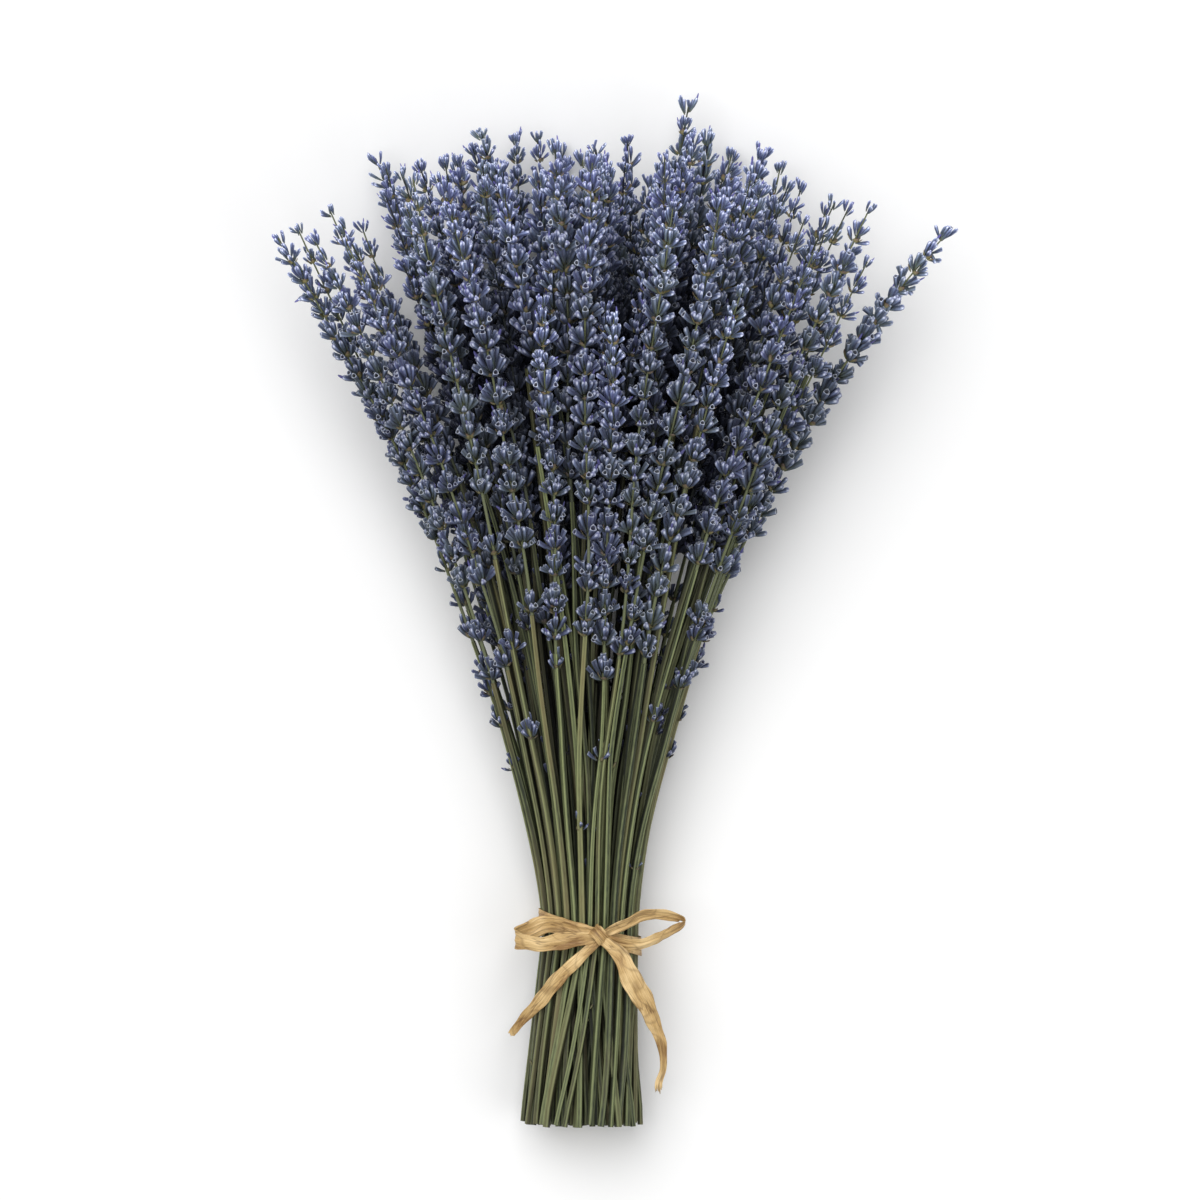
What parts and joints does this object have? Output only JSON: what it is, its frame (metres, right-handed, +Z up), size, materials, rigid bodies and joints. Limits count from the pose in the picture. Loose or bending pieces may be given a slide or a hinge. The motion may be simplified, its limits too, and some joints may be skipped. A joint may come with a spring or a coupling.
{
  "type": "bunch of dried lavender",
  "caption": "Dried lavender sprigs gathered into a fan-shaped bunch, lying down, tied round the stems with a strip of raffia in a bow.",
  "frame": {"origin": "middle of the flat underside of the raffia band, on the surface that the bunch lies on", "axes": "+Y along the bunch from the cut ends to the flower tips, +Z up, away from the surface"},
  "size_m": [0.2618, 0.4008, 0.13],
  "materials": {
    "stem": "dry green stalk, matt",
    "flower": "dry grey-blue flowers, matt",
    "raffia": "natural raffia, satin along its fibres"
  },
  "bodies": {
    "root": {"stems": "stem", "raffia_tie": "raffia", "flower_heads_01": "flower", "flower_heads_02": "flower", "flower_heads_03": "flower", "flower_heads_04": "flower", "flower_heads_05": "flower", "flower_heads_06": "flower", "flower_heads_07": "flower", "flower_heads_08": "flower", "flower_heads_09": "flower", "flower_heads_10": "flower", "flower_heads_11": "flower", "flower_heads_12": "flower", "flower_heads_13": "flower", "flower_heads_14": "flower", "flower_heads_15": "flower", "flower_heads_16": "flower", "flower_heads_17": "flower", "flower_heads_18": "flower", "flower_heads_19": "flower", "flower_heads_20": "flower", "flower_heads_21": "flower", "flower_heads_22": "flower", "flower_heads_23": "flower", "flower_heads_24": "flower", "flower_heads_25": "flower", "flower_heads_26": "flower", "flower_heads_27": "flower", "flower_heads_28": "flower", "flower_heads_29": "flower", "flower_heads_30": "flower", "flower_heads_31": "flower", "flower_heads_32": "flower", "flower_heads_33": "flower", "flower_heads_34": "flower", "flower_heads_35": "flower", "flower_heads_36": "flower", "flower_heads_37": "flower", "flower_heads_38": "flower", "flower_heads_39": "flower", "flower_heads_40": "flower", "flower_heads_41": "flower", "flower_heads_42": "flower", "flower_heads_43": "flower", "flower_heads_44": "flower", "flower_heads_45": "flower", "flower_heads_46": "flower"}
  },
  "joints": []
}
